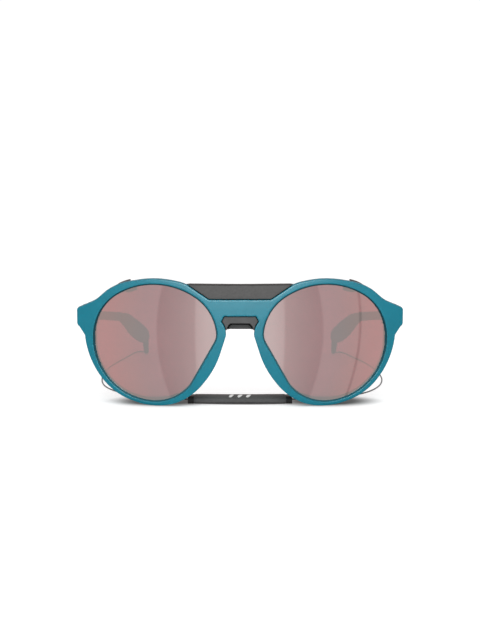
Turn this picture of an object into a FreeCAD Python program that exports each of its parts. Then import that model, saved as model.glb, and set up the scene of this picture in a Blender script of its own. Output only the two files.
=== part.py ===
import FreeCAD, Part
import math
import os
import Sketcher

# Glacier glasses with round lenses, removable bridge and side shields and a leash.
# The glasses stand upright on their rims and temple tips, as on a shelf.
# +X is the wearer's left, +Y runs from the front towards the temple tips, +Z is up.
# Shapes are laid out from the front face of the bridge, at floor height, and each
# finished piece is then placed so that the origin is under the middle of the glasses.

os.makedirs("parts", exist_ok=True)
doc = FreeCAD.newDocument("glacier_glasses")
V = FreeCAD.Vector

# ---------------------------------------------------------------- driving dimensions

DIMENSIONS = [
    ("wrap_radius", 150.0, "radius of the ball that the front surface follows"),
    ("wrap_height", 28.6, "height of that ball's centre"),
    ("rim_depth", 4.6, "front frame, front to back"),
    ("lens_recess", 1.2, "lens face behind the front surface"),
    ("lens_thickness", 2.0, "lens"),
    ("lens_seat", 0.8, "how far the lens edge sits inside the rim"),
    ("seat_play", 0.05, "play round the lens in its groove"),
    ("hinge_offset", 66.0, "hinge axis, from the middle plane"),
    ("hinge_back", 25.8, "hinge axis, behind the bridge face"),
    ("hinge_height", 38.1, "middle of the hinge above the floor"),
    ("hinge_tilt", 3.5, "lean of the hinge axis, top backwards, degrees"),
    ("barrel_radius", 1.3, "hinge barrels"),
    ("pin_radius", 0.6, "hinge screw shank"),
    ("running_play", 0.05, "radial play of the middle barrel on its screw"),
    ("leaf_thickness", 1.0, "hinge leaves"),
    ("leaf_half_height", 3.4, "hinge leaves, half height"),
    ("barrel_gap", 0.15, "end play between the barrels"),
    ("barrel_room", 1.65, "radius kept clear round the barrels"),
    ("stop_gap", 0.3, "gap between end piece and open temple"),
    ("shield_depth", 5.7, "side shield wall, front to back"),
    ("shield_lip", 1.2, "side shield lip behind the rim"),
    ("core_radius", 0.6, "steel core wire of the temple"),
    ("boot_radius", 1.65, "leash boot on the temple tip"),
    ("cord_diameter", 0.6, "leash cord"),
    ("band_length", 41.8, "wide rubber middle of the leash"),
    ("ferrule_length", 2.7, "crimped end of the leash band"),
    ("origin_back", 77.0, "origin behind the bridge face"),
]

sheet = doc.addObject("Spreadsheet::Sheet", "Dims")
for row, (alias, value, meaning) in enumerate(DIMENSIONS, start=1):
    sheet.set(f"A{row}", alias)
    sheet.set(f"B{row}", str(value))
    sheet.setAlias(f"B{row}", alias)
    sheet.set(f"C{row}", meaning)
doc.recompute()


def dim(alias):
    return float(sheet.get(alias))


SIDES = (("left", 1), ("right", -1))
HINGE = V(dim("hinge_offset"), dim("hinge_back"), dim("hinge_height"))
PARTING = dim("hinge_back") + 0.2
ALL_PIECES = []


# ---------------------------------------------------------------- helpers

def keep(feature, label):
    """Name a finished piece, in a group that is placed at the origin of the whole object."""
    piece = doc.addObject("Part::Compound", "piece_" + label)
    piece.Label = label
    piece.Links = [feature]
    piece.setExpression("Placement.Base.y", "-Dims.origin_back")
    ALL_PIECES.append(piece)
    return piece


def mirrored(path, side):
    """The same path on the left (side 1) or on the right (side -1)."""
    return [tuple((side * x, z) for x, z in step) for step in path]


def both_halves(half):
    """Close a half outline, from one point of the middle plane to another, with its mirror."""
    steps = list(half)
    for step in reversed(half[1:]):
        previous = half[half.index(step) - 1][-1]
        points = list(reversed(step[:-1])) + [previous]
        steps.append(tuple((-x, z) for x, z in points))
    return steps


def outline(sketch, path):
    """Draw a closed path: a step of one point is a line, and one of two is an arc."""
    start = path[0][-1]
    here = start
    steps = list(path[1:])
    if math.dist(steps[-1][-1], start) > 1e-6:
        steps.append((start,))
    for step in steps:
        points = [V(here[0], here[1], 0)] + [V(x, y, 0) for x, y in step]
        if len(points) == 2:
            sketch.addGeometry(Part.LineSegment(*points), False)
        else:
            sketch.addGeometry(Part.Arc(*points), False)
        here = step[-1]
    count = sketch.GeometryCount
    for index in range(count):
        following = (index + 1) % count
        for end in (1, 2):
            for beginning in (1, 2):
                gap = sketch.getPoint(index, end) - sketch.getPoint(following, beginning)
                if gap.Length < 1e-6:
                    pair = (index, end, following, beginning)
                    sketch.addConstraint(Sketcher.Constraint("Coincident", *pair))


def attach(body, name, role, offset=0.0):
    """A sketch on one of the body's origin planes, moved along the plane's normal."""
    plane = next(f for f in body.Origin.OriginFeatures if f.Role == role)
    sketch = body.newObject("Sketcher::SketchObject", name)
    sketch.AttachmentSupport = [(plane, "")]
    sketch.MapMode = "FlatFace"
    sketch.AttachmentOffset = FreeCAD.Placement(V(0, 0, offset), FreeCAD.Rotation())
    return sketch


def prism(name, path, near, far):
    """A front-view outline (x, z) made solid from depth near to depth far."""
    body = doc.addObject("PartDesign::Body", name)
    sketch = attach(body, name + "_sketch", "XZ_Plane", -near)
    outline(sketch, path)
    pad = body.newObject("PartDesign::Pad", name + "_pad")
    pad.Profile = sketch
    pad.Length = far - near
    pad.Reversed = True
    body.Tip = pad
    return body


def ball(name, inset):
    """The ball that the front surface follows, smaller by an inset (an expression)."""
    sphere = doc.addObject("Part::Sphere", name)
    sphere.setExpression("Radius", f"Dims.wrap_radius - ({inset})")
    sphere.setExpression("Placement.Base.y", "Dims.wrap_radius")
    sphere.setExpression("Placement.Base.z", "Dims.wrap_height")
    return sphere


def shell(name, front_inset, back_inset):
    """The layer between two such balls."""
    layer = doc.addObject("Part::Cut", name)
    layer.Base = ball(name + "_outer", front_inset)
    layer.Tool = ball(name + "_inner", back_inset)
    return layer


def common(name, first, second):
    result = doc.addObject("Part::Common", name)
    result.Base = first
    result.Tool = second
    return result


def cut(name, base, tool):
    result = doc.addObject("Part::Cut", name)
    result.Base = base
    result.Tool = tool
    return result


def fuse(name, pieces):
    result = doc.addObject("Part::MultiFuse", name)
    result.Shapes = pieces
    result.Refine = True
    return result


# ---------------------------------------------------------------- front outlines

LENS_START = (17.77, 33.33)
LENS_CHORD_ANGLE = 209.2
LENS_ARCS = [
    (7.75, 173.74),
    (21.44, 122.93),
    (33.19, 57.49),
    (23.1, 14.34),
    (27.62, -87.54),
    (21.84, -141.31),
]


def polar(centre, radius, degrees):
    angle = math.radians(degrees)
    return (centre[0] + radius * math.cos(angle), centre[1] + radius * math.sin(angle))


def lens_arcs():
    """Arcs round the lens opening, each tangent to the next: centre, radius, first, last angle."""
    centre = LENS_START
    first = LENS_CHORD_ANGLE
    previous = LENS_ARCS[0][0]
    arcs = []
    for radius, last in LENS_ARCS:
        centre = polar(centre, previous - radius, first)
        arcs.append((centre, radius, first, last))
        first = last
        previous = radius
    # The closing arc has the radius that lets it end on the straight chord beside the nose.
    across = polar((0.0, 0.0), 1.0, LENS_CHORD_ANGLE)
    drop = (LENS_START[0] - centre[0]) * across[0] + (LENS_START[1] - centre[1]) * across[1]
    share = math.cos(math.radians(LENS_CHORD_ANGLE - first))
    radius = (drop + LENS_ARCS[0][0] - previous * share) / (1.0 - share)
    centre = polar(centre, previous - radius, first)
    arcs.append((centre, radius, first, LENS_CHORD_ANGLE - 360.0))
    return arcs


def lens_outline(grow):
    """The lens opening, larger all round by an amount, closed by the chord."""
    path = [(polar(LENS_START, LENS_ARCS[0][0] + grow, LENS_CHORD_ANGLE),)]
    for centre, radius, first, last in lens_arcs():
        size = radius + grow
        path.append((polar(centre, size, 0.5 * (first + last)), polar(centre, size, last)))
    return path


FRONT_HALF = [
    ((0.0, 48.6),),
    ((13.4, 48.55),),
    ((13.85, 48.62), (14.25, 48.85)),
    ((23.3, 54.75),),
    ((25.8, 55.7), (28.5, 56.3)),
    ((37.9, 57.2), (47.4, 56.05)),
    ((54.5, 54.2), (60.45, 50.85)),
    ((63.0, 48.6),),
    ((64.9, 47.0), (67.5, 45.55)),
    ((73.4, 42.75),),
    ((73.88, 42.35), (74.0, 41.7)),
    ((73.95, 36.2),),
    ((73.75, 35.2), (72.9, 34.4)),
    ((70.3, 30.7),),
    ((67.75, 20.3), (62.7, 11.6)),
    ((56.3, 5.5), (47.5, 1.5)),
    ((38.0, 0.0), (28.9, 1.5)),
    ((22.2, 5.25), (15.75, 11.8)),
    ((11.9, 17.5), (8.5, 25.55)),
    ((6.2, 32.75),),
    ((6.65, 36.0), (8.4, 39.1)),
    ((7.1, 41.5),),
    ((0.0, 41.5),),
]


# ---------------------------------------------------------------- hinges

def hinge_frame(side):
    """The tilted frame of one hinge: its axis is the local Z, and X points outwards."""
    place = V(side * HINGE.x, HINGE.y, HINGE.z)
    return FreeCAD.Placement(place, FreeCAD.Rotation(V(1, 0, 0), -dim("hinge_tilt")))


def in_hinge(feature, side, local, rotation=FreeCAD.Rotation()):
    feature.Placement = hinge_frame(side) * FreeCAD.Placement(local, rotation)
    return feature


def hinge_box(name, side, low, high):
    """A box in the hinge frame, given on the left side and mirrored for the right."""
    block = doc.addObject("Part::Box", name)
    block.Length = high[0] - low[0]
    block.Width = high[1] - low[1]
    block.Height = high[2] - low[2]
    start = low[0] if side > 0 else -high[0]
    return in_hinge(block, side, V(start, low[1], low[2]))


def hinge_barrel(name, side, radius, low, high):
    barrel = doc.addObject("Part::Cylinder", name)
    barrel.setExpression("Radius", radius)
    barrel.Height = high - low
    return in_hinge(barrel, side, V(0, 0, low))


LEAF_IN = 0.3
LEAF_FRONT = 4.2
LEAF_BACK = 6.6
KNUCKLE = 1.15
SCREW_FRONT = -3.1
SCREW_BACK = 4.4
SCREW_SPREAD = 2.0
SCREW_SHANK = 0.5
SCREW_HEAD = 0.9


def leaf_screws(name, side, back, length):
    """Two small screws through a hinge leaf, along X."""
    pieces = []
    outwards = FreeCAD.Rotation(V(0, 1, 0), 90 * side)
    for level in (-SCREW_SPREAD, SCREW_SPREAD):
        shank = doc.addObject("Part::Cylinder", f"{name}_shank_{len(pieces)}")
        shank.Radius = SCREW_SHANK
        shank.Height = length
        in_hinge(shank, side, V(side * LEAF_IN, back, level), outwards)
        head = doc.addObject("Part::Cylinder", f"{name}_head_{len(pieces)}")
        head.Radius = SCREW_HEAD
        head.Height = 0.45
        in_hinge(head, side, V(side * (LEAF_IN - 0.45), back, level), outwards)
        pieces.append(fuse(f"{name}_screw_{len(pieces)}", [shank, head]))
    group = doc.addObject("Part::Compound", name + "_pair")
    group.Links = pieces
    return group


# ---------------------------------------------------------------- front frame and lenses

def end_block(name, side):
    """The thick end piece that reaches back to the hinge."""
    path = [
        ((67.35, 44.0),),
        ((70.7, 44.0),),
        ((73.4, 42.6),),
        ((73.95, 41.7),),
        ((73.9, 36.2),),
        ((72.9, 34.5),),
        ((71.6, 32.9),),
        ((67.35, 32.9),),
    ]
    block = prism(name, mirrored(path, side), 10.0, PARTING - dim("stop_gap"))
    return common(name + "_curved", block, ball(name + "_ball", "0"))


def front_frame(screws):
    plate = prism("front_plate", both_halves(FRONT_HALF), -5.0, 40.0)
    curved = common("front_curved", plate, shell("front_layer", "0", "Dims.rim_depth"))
    blocks = [end_block(f"end_block_{word}", side) for word, side in SIDES]
    result = fuse("front_blank", [curved] + blocks)
    for word, side in SIDES:
        hole = prism(f"lens_hole_{word}", mirrored(lens_outline(0.0), side), -5.0, 40.0)
        result = cut(f"front_open_{word}", result, hole)
    for word, side in SIDES:
        play = dim("seat_play")
        groove = mirrored(lens_outline(dim("lens_seat") + play), side)
        seat = common(
            f"lens_groove_{word}",
            prism(f"lens_groove_plan_{word}", groove, -5.0, 40.0),
            shell(
                f"lens_groove_layer_{word}",
                "Dims.lens_recess - Dims.seat_play",
                "Dims.lens_recess + Dims.lens_thickness + Dims.seat_play",
            ),
        )
        result = cut(f"front_grooved_{word}", result, seat)
        reach = dim("leaf_half_height") + 1.5
        room = hinge_barrel(f"front_room_{word}", side, "Dims.barrel_room", -reach, reach)
        result = cut(f"front_relieved_{word}", result, room)
        result = cut(f"front_drilled_{word}", result, screws[word])
    return keep(result, "front_frame")


def lens(word, side):
    plan = prism(f"lens_plan_{word}", mirrored(lens_outline(dim("lens_seat")), side), -5.0, 40.0)
    layer = shell(
        f"lens_layer_{word}", "Dims.lens_recess", "Dims.lens_recess + Dims.lens_thickness"
    )
    return keep(common(f"lens_solid_{word}", plan, layer), f"lens_{word}")


front_screws = {}
for word, side in SIDES:
    front_screws[word] = leaf_screws(f"front_screws_{word}", side, SCREW_FRONT, 3.4)
front_frame(front_screws)
for word, side in SIDES:
    lens(word, side)


# ---------------------------------------------------------------- bridge shield and nose piece

def bridge_shield():
    """A plug that fills the gap between the rims, on a flange behind them."""
    flange_half = [
        ((0.0, 55.0),),
        ((12.0, 55.05), (22.6, 55.0)),
        ((24.4, 54.7),),
        ((25.6, 54.2),),
        ((20.4, 51.9), (15.2, 47.8)),
        ((12.6, 44.8),),
        ((0.0, 44.8),),
    ]
    plug_half = [
        ((0.0, 55.0),),
        ((12.0, 55.05), (22.8, 55.15)),
        ((23.1, 54.97),),
        ((14.15, 49.14),),
        ((13.75, 48.91), (13.4, 48.85)),
        ((0.0, 48.9),),
    ]
    flange = common(
        "shield_flange",
        prism("shield_flange_plan", both_halves(flange_half), -5.0, 30.0),
        shell("shield_flange_layer", "Dims.rim_depth + 0.2", "Dims.rim_depth + 2.2"),
    )
    plug = common(
        "shield_plug",
        prism("shield_plug_plan", both_halves(plug_half), -5.0, 30.0),
        shell("shield_plug_layer", "1.0", "Dims.rim_depth + 0.6"),
    )
    return keep(fuse("bridge_shield_solid", [flange, plug]), "bridge_shield")


def nose_saddle():
    """A hard arch under the bridge, with a lower lip behind it and a groove between them."""
    arch_half = [
        ((0.0, 41.25),),
        ((6.85, 41.25),),
        ((8.05, 39.1),),
        ((6.4, 36.2), (6.0, 34.4)),
        ((5.55, 36.8), (4.3, 38.25)),
        ((0.0, 38.25),),
    ]
    lip_half = [
        ((0.0, 43.0),),
        ((8.4, 43.0),),
        ((9.6, 39.6),),
        ((8.9, 35.4), (9.5, 31.2)),
        ((8.2, 30.8),),
        ((6.6, 34.2), (4.6, 35.2)),
        ((0.0, 35.2),),
    ]
    arch = common(
        "saddle_arch",
        prism("saddle_arch_plan", both_halves(arch_half), -5.0, 30.0),
        shell("saddle_arch_layer", "0.9", "Dims.rim_depth + 0.6"),
    )
    lip = common(
        "saddle_lip",
        prism("saddle_lip_plan", both_halves(lip_half), -5.0, 30.0),
        shell("saddle_lip_layer", "Dims.rim_depth + 0.2", "Dims.rim_depth + 3.4"),
    )
    line_half = [
        ((0.0, 38.6),),
        ((4.3, 38.6),),
        ((6.05, 36.9), (7.0, 34.0)),
        ((5.7, 34.0),),
        ((5.0, 36.0), (3.9, 37.25)),
        ((0.0, 37.25),),
    ]
    line = common(
        "saddle_line",
        prism("saddle_line_plan", both_halves(line_half), -5.0, 30.0),
        shell("saddle_line_layer", "Dims.rim_depth", "Dims.rim_depth + 1.4"),
    )
    solid = fuse("nose_saddle_solid", [arch, lip])
    return keep(cut("nose_saddle_lined", solid, line), "nose_saddle")


def lofted(name, stations):
    """A smooth solid through ellipses (depth, x, z, half width, half height)."""
    body = doc.addObject("PartDesign::Body", name)
    rings = []
    for index, (depth, x, z, half_width, half_height) in enumerate(stations):
        ring = attach(body, f"{name}_ring_{index}", "XZ_Plane", -depth)
        if half_height >= half_width:
            major, minor = V(x, z + half_height, 0), V(x + half_width, z, 0)
        else:
            major, minor = V(x + half_width, z, 0), V(x, z + half_height, 0)
        ring.addGeometry(Part.Ellipse(major, minor, V(x, z, 0)), False)
        rings.append(ring)
    loft = body.newObject("PartDesign::AdditiveLoft", name + "_loft")
    loft.Profile = rings[0]
    loft.Sections = rings[1:]
    body.Tip = loft
    return body


def nose_pad(word, side):
    """A soft pad behind the nose side of the rim, tilted to lie on the nose."""
    path = [
        ((9.6, 27.5),),
        ((11.2, 28.9),),
        ((15.4, 20.6),),
        ((19.6, 12.6),),
        ((18.6, 10.4), (16.9, 11.6)),
        ((13.0, 18.6), (9.6, 27.5)),
    ]
    pad = common(
        f"nose_pad_curved_{word}",
        prism(f"nose_pad_plan_{word}", mirrored(path, side), -5.0, 12.4),
        ball(f"nose_pad_front_{word}", "Dims.rim_depth + 0.2"),
    )
    return keep(pad, f"nose_pad_{word}")


# ---------------------------------------------------------------- side shields

def side_shield(word, side):
    """A lip behind the rim and two short walls, open between them for the temple."""
    lip = [
        ((46.6, 55.5),),
        ((58.4, 51.2), (64.6, 43.0)),
        ((65.6, 40.0),),
        ((65.7, 34.0),),
        ((67.0, 32.0),),
        ((67.4, 29.0),),
        ((62.9, 14.7), (47.2, 3.1)),
        ((36.2, 1.7), (27.4, 3.7)),
        ((28.0, 5.4),),
        ((36.8, 2.9), (46.6, 3.8)),
        ((59.7, 12.4), (65.0, 28.4)),
        ((64.9, 35.5), (63.9, 41.9)),
        ((57.6, 49.4), (46.4, 54.4)),
    ]
    upper_wall = [
        ((49.6, 55.75),),
        ((52.3, 54.95), (55.0, 53.7)),
        ((60.0, 50.2),),
        ((66.0, 45.7),),
        ((66.9, 44.9),),
        ((65.2, 44.4),),
        ((61.9, 47.2), (58.9, 49.3)),
        ((54.3, 52.4), (49.6, 54.3)),
    ]
    lower_wall = [
        ((68.6, 29.0),),
        ((67.2, 29.0),),
        ((63.3, 16.1), (55.6, 7.1)),
        ((55.2, 6.4),),
        ((64.1, 15.5), (68.6, 29.0)),
    ]
    lip_back = "Dims.rim_depth + 0.2 + Dims.shield_lip"
    wall_back = "Dims.rim_depth + Dims.shield_depth"
    parts = []
    for name, path, back in (
        ("lip", lip, lip_back),
        ("upper", upper_wall, wall_back),
        ("lower", lower_wall, wall_back),
    ):
        plan = prism(f"shield_{name}_plan_{word}", mirrored(path, side), -5.0, 40.0)
        layer = shell(f"shield_{name}_layer_{word}", "Dims.rim_depth + 0.2", back)
        parts.append(common(f"shield_{name}_{word}", plan, layer))
    return keep(fuse(f"side_shield_solid_{word}", parts), f"side_shield_{word}")


bridge_shield()
nose_saddle()
for word, side in SIDES:
    nose_pad(word, side)
    side_shield(word, side)


# ---------------------------------------------------------------- hinge leaves

def front_leaf(word, side, screws):
    half = dim("leaf_half_height")
    edge = LEAF_IN + dim("leaf_thickness")
    inner = KNUCKLE + dim("barrel_gap")
    name = f"front_leaf_{word}"
    plate = hinge_box(name + "_plate", side, (LEAF_IN, -LEAF_FRONT, -half), (edge, 0, half))
    upper = hinge_barrel(name + "_upper", side, "Dims.barrel_radius", inner, half)
    lower = hinge_barrel(name + "_lower", side, "Dims.barrel_radius", -half, -inner)
    room = hinge_barrel(name + "_room", side, "Dims.barrel_radius + 0.3", -inner, inner)
    bore = hinge_barrel(name + "_bore", side, "Dims.pin_radius", -half - 1, half + 1)
    opened = cut(name + "_opened", plate, room)
    solid = fuse(name + "_solid", [opened, upper, lower])
    bored = cut(name + "_bored", solid, bore)
    return keep(cut(name + "_drilled", bored, screws), f"hinge_front_{word}")


def temple_leaf(word, side, screws):
    half = dim("leaf_half_height")
    edge = LEAF_IN + dim("leaf_thickness")
    name = f"temple_leaf_{word}"
    plate = hinge_box(name + "_plate", side, (LEAF_IN, 0, -half), (edge, LEAF_BACK, half))
    middle = hinge_barrel(name + "_middle", side, "Dims.barrel_radius", -KNUCKLE, KNUCKLE)
    radius = "Dims.barrel_radius + 0.3"
    above = hinge_barrel(name + "_above", side, radius, KNUCKLE, half + 1)
    below = hinge_barrel(name + "_below", side, radius, -half - 1, -KNUCKLE)
    play = "Dims.pin_radius + Dims.running_play"
    bore = hinge_barrel(name + "_bore", side, play, -half, half)
    opened = cut(name + "_opened", plate, above)
    cleared = cut(name + "_cleared", opened, below)
    solid = fuse(name + "_solid", [cleared, middle])
    bored = cut(name + "_bored", solid, bore)
    return keep(cut(name + "_drilled", bored, screws), f"hinge_temple_{word}")


def hinge_screw(word, side):
    """The screw that is the hinge pin, with a slotted head on top."""
    half = dim("leaf_half_height")
    name = f"hinge_screw_{word}"
    shank = hinge_barrel(name + "_shank", side, "Dims.pin_radius", -half, half)
    head = hinge_barrel(name + "_head", side, "Dims.barrel_radius - 0.2", half, half + 0.7)
    slot = hinge_box(name + "_slot", side, (-2, -0.2, half + 0.35), (2, 0.2, half + 1))
    solid = fuse(name + "_solid", [shank, head])
    return keep(cut(name + "_slotted", solid, slot), name)


# ---------------------------------------------------------------- temples

def tube(name, points, radius):
    """A round wire along straight runs, joined by arcs as large as the runs allow."""
    corners = [V(*point) for point in points]
    edges = []
    radii = []
    here = corners[0]
    for before, corner, after in zip(corners, corners[1:], corners[2:]):
        back = (before - corner).normalize()
        ahead = (after - corner).normalize()
        half_turn = 0.5 * (math.pi - back.getAngle(ahead))
        setback = 0.45 * min((before - corner).Length, (after - corner).Length)
        bend = setback / math.tan(half_turn)
        entry = corner + back * setback
        leave = corner + ahead * setback
        inwards = (back + ahead).normalize()
        middle = corner + inwards * (bend / math.cos(half_turn) - bend)
        edges.append(Part.LineSegment(here, entry).toShape())
        edges.append(Part.Arc(entry, middle, leave).toShape())
        radii.append(round(bend, 1))
        here = leave
    edges.append(Part.LineSegment(here, corners[-1]).toShape())
    path = Part.Wire(edges)
    section = Part.Wire([Part.makeCircle(radius, corners[0], corners[1] - corners[0])])
    feature = doc.addObject("Part::Feature", name)
    feature.Shape = path.makePipeShell([section], True, False)
    expected = math.pi * radius ** 2 * path.Length
    print(f"{name}: length {path.Length:.1f}, bend radii {radii}")
    if abs(feature.Shape.Volume / expected - 1) > 0.01:
        raise RuntimeError(f"{name}: volume {feature.Shape.Volume:.1f}, not {expected:.1f}")
    return feature


def temple_core(word, side):
    """The bendable steel wire inside the arm and the ear sock."""
    route = [
        (63.1, 58.0, 33.9),
        (60.1, 80.0, 30.45),
        (57.7, 98.0, 26.2),
        (54.3, 122.0, 18.2),
        (51.8, 138.0, 13.6),
    ]
    points = [(side * x, y, z) for x, y, z in route]
    return tube(f"core_{word}", points, dim("core_radius"))


def temple_arm(word, side, screws, core):
    """A slim arm, deep at the hinge, cut to outlines from the side, from above and in front."""
    profile = [
        ((26.0, 43.8),),
        ((33.5, 41.0), (43.0, 38.1)),
        ((80.0, 32.55),),
        ((80.0, 28.35),),
        ((66.0, 30.6),),
        ((43.0, 34.1),),
        ((34.0, 34.3), (26.0, 33.0)),
    ]
    plan = [
        ((67.35, PARTING),),
        ((67.35, 33.4),),
        ((66.3, 37.3), (64.4, 41.2)),
        ((58.3, 80.0),),
        ((61.8, 80.0),),
        ((67.0, 50.6),),
        ((69.8, 40.0), (73.4, PARTING)),
    ]
    near = 45.0 if side > 0 else -85.0
    side_body = doc.addObject("PartDesign::Body", f"arm_side_{word}")
    side_sketch = attach(side_body, f"arm_side_sketch_{word}", "YZ_Plane", near)
    outline(side_sketch, profile)
    side_pad = side_body.newObject("PartDesign::Pad", f"arm_side_pad_{word}")
    side_pad.Profile = side_sketch
    side_pad.Length = 40.0
    side_body.Tip = side_pad
    plan_body = doc.addObject("PartDesign::Body", f"arm_plan_{word}")
    plan_sketch = attach(plan_body, f"arm_plan_sketch_{word}", "XY_Plane")
    outline(plan_sketch, mirrored(plan, side))
    plan_pad = plan_body.newObject("PartDesign::Pad", f"arm_plan_pad_{word}")
    plan_pad.Profile = plan_sketch
    plan_pad.Length = 60.0
    plan_body.Tip = plan_pad
    front = [
        ((40.0, 10.0),),
        ((76.0, 10.0),),
        ((76.0, 40.2),),
        ((73.2, 41.7),),
        ((70.4, 43.2),),
        ((66.0, 45.0),),
        ((40.0, 45.0),),
    ]
    front_body = prism(f"arm_front_{word}", mirrored(front, side), 20.0, 90.0)
    blank = common(f"arm_blank_{word}", side_body, plan_body)
    arm = common(f"arm_{word}", blank, front_body)
    reach = dim("leaf_half_height") + 3.0
    room = hinge_barrel(f"arm_room_{word}", side, "Dims.barrel_room", -reach, reach)
    for index, tool in enumerate((room, screws, core)):
        arm = cut(f"arm_cut_{index}_{word}", arm, tool)
    return keep(arm, f"temple_arm_{word}")


BOOT_TOP = (50.5, 144.6, 9.2)
BOOT_END = (50.4, 153.12, 0.88)


def leash_boot(word, side):
    """A tapered rubber sleeve that holds the cord on the temple tip."""
    top = V(side * BOOT_TOP[0], BOOT_TOP[1], BOOT_TOP[2])
    end = V(side * BOOT_END[0], BOOT_END[1], BOOT_END[2])
    boot = doc.addObject("Part::Cone", f"boot_{word}")
    boot.setExpression("Radius1", "Dims.boot_radius")
    boot.setExpression("Radius2", "0.75 * Dims.boot_radius")
    boot.Height = (end - top).Length
    boot.Placement = FreeCAD.Placement(top, FreeCAD.Rotation(V(0, 0, 1), end - top))
    return boot


def ear_sock(word, side, core, boot):
    """A rubber sock that widens behind the ear and turns down at its tip."""
    stations = [
        (80.0, 60.15, 30.45, 2.0, 2.1),
        (88.0, 58.95, 28.9, 2.05, 2.35),
        (96.0, 57.9, 26.85, 2.2, 3.15),
        (104.0, 56.8, 24.3, 2.3, 4.25),
        (112.0, 55.7, 21.4, 2.3, 5.0),
        (122.0, 54.3, 18.15, 2.25, 5.3),
        (134.0, 52.3, 14.3, 2.2, 5.1),
        (142.0, 51.0, 12.1, 2.1, 4.4),
        (147.2, 50.1, 10.6, 1.7, 3.2),
        (149.2, 49.8, 10.05, 0.9, 1.7),
    ]
    rings = [(y, side * x, z, a, b) for y, x, z, a, b in stations]
    sock = lofted(f"sock_{word}", rings)
    for index, tool in enumerate((core, boot)):
        sock = cut(f"sock_cut_{index}_{word}", sock, tool)
    return keep(sock, f"ear_sock_{word}")


for word, side in SIDES:
    temple_screws = leaf_screws(f"temple_screws_{word}", side, SCREW_BACK, 3.2)
    core = temple_core(word, side)
    boot = leash_boot(word, side)
    front_leaf(word, side, front_screws[word])
    temple_leaf(word, side, temple_screws)
    hinge_screw(word, side)
    temple_arm(word, side, temple_screws, core)
    ear_sock(word, side, core, boot)
    keep(front_screws[word], f"hinge_screws_front_{word}")
    keep(temple_screws, f"hinge_screws_temple_{word}")
    keep(core, f"temple_core_{word}")
    keep(boot, f"leash_boot_{word}")


# ---------------------------------------------------------------- leash

BAND_SECTION = [
    ((12.0, 0.0),),
    ((17.3, 0.0),),
    ((18.2, 0.5), (18.5, 1.7)),
    ((18.1, 3.1), (16.8, 3.6)),
    ((14.6, 3.8), (12.3, 3.5)),
    ((11.1, 2.9), (10.8, 1.6)),
    ((11.1, 0.5), (12.0, 0.0)),
]
FERRULE_SECTION = [
    ((12.2, 0.1),),
    ((17.1, 0.1),),
    ((18.0, 1.8), (17.0, 3.5)),
    ((12.3, 3.5),),
    ((11.3, 1.8), (12.2, 0.1)),
]
CORD_LEFT = [
    (23.6, 14.6, 1.7),
    (26.6, 14.6, 1.7),
    (30.8, 17.0, 0.7),
    (37.6, 21.0, 0.3),
    (46.9, 26.8, 0.3),
    (55.8, 33.8, 0.3),
    (62.4, 43.4, 0.3),
    (67.2, 56.6, 0.3),
    (69.5, 70.4, 0.3),
    (69.9, 84.0, 0.3),
    (68.9, 98.6, 0.3),
    (66.9, 113.4, 0.3),
    (63.5, 128.0, 0.3),
    (59.6, 140.2, 0.3),
    (57.4, 149.4, 0.3),
    (55.7, 154.8, 0.3),
    (53.2, 156.9, 0.3),
    (51.0, 156.0, 0.3),
    (50.4, 153.75, 0.68),
]
CORD_RIGHT = [
    (-23.6, 14.6, 1.7),
    (-26.6, 14.6, 1.7),
    (-31.2, 17.9, 0.7),
    (-38.6, 23.0, 0.3),
    (-48.2, 30.4, 0.3),
    (-57.6, 39.6, 0.3),
    (-63.5, 50.8, 0.3),
    (-66.4, 62.0, 0.3),
    (-67.8, 74.2, 0.3),
    (-68.2, 88.6, 0.3),
    (-67.2, 105.2, 0.3),
    (-64.4, 121.4, 0.3),
    (-60.9, 135.6, 0.3),
    (-58.2, 147.6, 0.3),
    (-57.0, 154.6, 0.3),
    (-54.8, 158.4, 0.3),
    (-52.0, 158.7, 0.3),
    (-50.6, 156.4, 0.3),
    (-50.4, 153.75, 0.68),
]


def along_x(name, section, start, length):
    """A section (y, z) made solid along X."""
    body = doc.addObject("PartDesign::Body", name)
    sketch = attach(body, name + "_sketch", "YZ_Plane", start)
    outline(sketch, section)
    pad = body.newObject("PartDesign::Pad", name + "_pad")
    pad.Profile = sketch
    pad.setExpression("Length", length)
    body.Tip = pad
    return body


def leash():
    half_band = 0.5 * dim("band_length")
    band = along_x("band", BAND_SECTION, -half_band, "Dims.band_length")
    keep(band, "leash_band")
    starts = {"left": half_band, "right": -half_band - dim("ferrule_length")}
    for word, side in SIDES:
        name = f"ferrule_{word}"
        ferrule = along_x(name, FERRULE_SECTION, starts[word], "Dims.ferrule_length")
        keep(ferrule, f"leash_ferrule_{word}")
    for word, route in (("left", CORD_LEFT), ("right", CORD_RIGHT)):
        cord = tube(f"cord_{word}", route, 0.5 * dim("cord_diameter"))
        keep(cord, f"leash_cord_{word}")


leash()


# ---------------------------------------------------------------- checks and export

doc.recompute()
for member in doc.Objects:
    if "Invalid" in member.State or "Error" in member.State:
        raise RuntimeError(f"{member.Name} failed: {member.State}")
for piece in ALL_PIECES:
    if piece.Shape.isNull() or not piece.Shape.isValid():
        raise RuntimeError(f"{piece.Label} has no valid shape")
for piece in ALL_PIECES:
    piece.Shape.exportStep(f"parts/{piece.Label}.step")
print(f"{len(ALL_PIECES)} pieces written")
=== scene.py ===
import math

import bmesh
import bpy
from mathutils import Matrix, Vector
from mathutils.geometry import convex_hull_2d


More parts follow.
